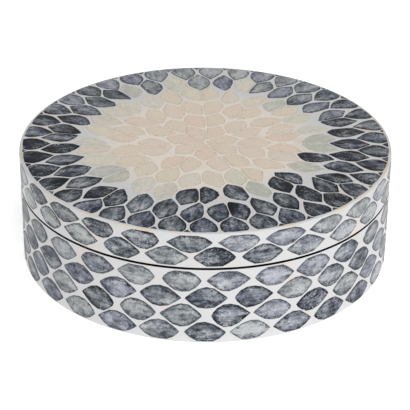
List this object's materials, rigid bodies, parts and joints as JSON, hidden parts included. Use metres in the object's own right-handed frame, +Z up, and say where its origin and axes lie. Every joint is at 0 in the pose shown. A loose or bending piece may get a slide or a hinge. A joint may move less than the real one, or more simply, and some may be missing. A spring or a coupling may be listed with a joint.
{
  "type": "decorative box",
  "caption": "Round lidded box, low drum form, with leaf-shaped shell inlay in pale resin over its lid and wall and a lift-off lid.",
  "frame": {"origin": "centre of the underside, on the surface the box stands on", "axes": "+Z up along the axis of the round box, -Y the front that faces the picture's camera, +X to that view's right"},
  "size_m": [0.2028, 0.203, 0.064],
  "materials": {
    "black_paint": "brushed satin black paint on wood board",
    "shell_inlay": "shell leaves laid in resin, ground flush and polished",
    "resin": "off-white resin, ground and polished",
    "dyed_shell": "blue-grey dyed shell, polished",
    "natural_shell": "cream and grey-green natural shell, polished"
  },
  "bodies": {
    "root": {"base_carcass": "black_paint", "base_inlay": "shell_inlay", "lid_carcass": "black_paint", "lid_inlay": "shell_inlay"}
  },
  "joints": []
}
